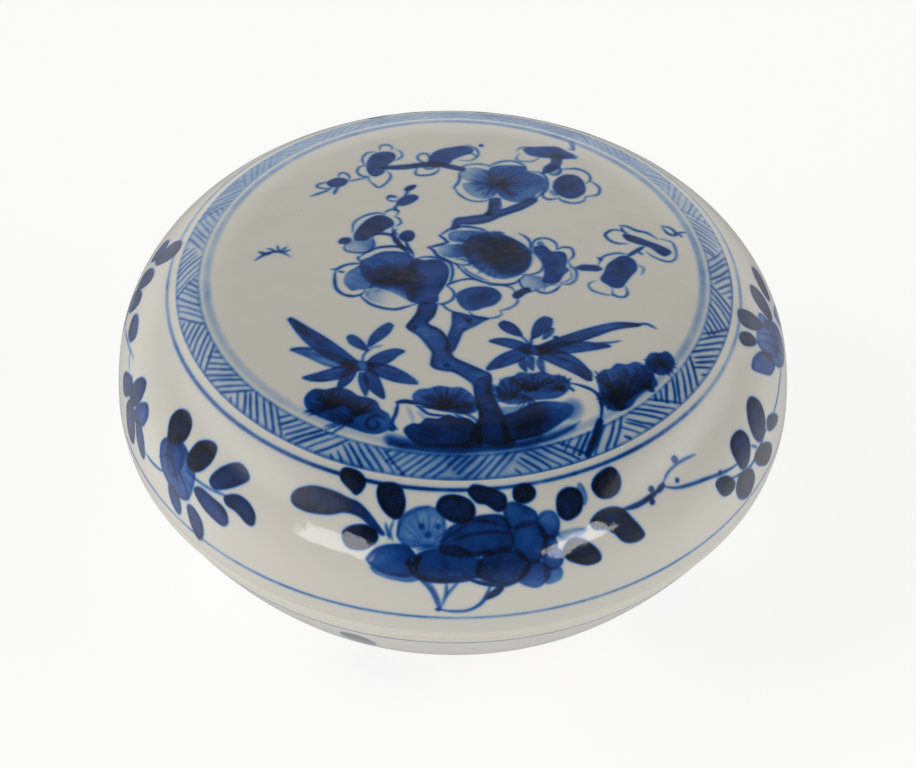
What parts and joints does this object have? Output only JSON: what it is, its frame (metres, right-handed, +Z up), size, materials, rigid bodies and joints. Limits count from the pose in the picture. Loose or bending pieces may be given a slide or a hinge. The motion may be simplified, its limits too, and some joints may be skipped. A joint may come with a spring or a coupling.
{
  "type": "porcelain trinket box",
  "caption": "Round covered box of glazed porcelain with blue flower painting: a shallow bowl-shaped base and a low domed cover that lifts straight off.",
  "frame": {"origin": "centre of the foot ring's resting face, so the box stands on z = 0", "axes": "+Z up along the axis of the round box, the way the cover lifts; +Y away from the painted front"},
  "size_m": [0.11, 0.11, 0.049],
  "materials": {
    "glazed_porcelain": "clear glossy glaze, slightly grey-green, over white porcelain painted in cobalt blue",
    "bare_porcelain": "unglazed fired porcelain, matt and slightly warm, on the rims and the foot ring"
  },
  "bodies": {
    "base": {"base": "glazed_porcelain"},
    "cover": {"cover": "glazed_porcelain"}
  },
  "joints": [
    {"name": "cover_lift", "type": "slide", "parent": "base", "child": "cover", "axis": [0, 0, 1], "range_m": [0, 0.06]}
  ]
}
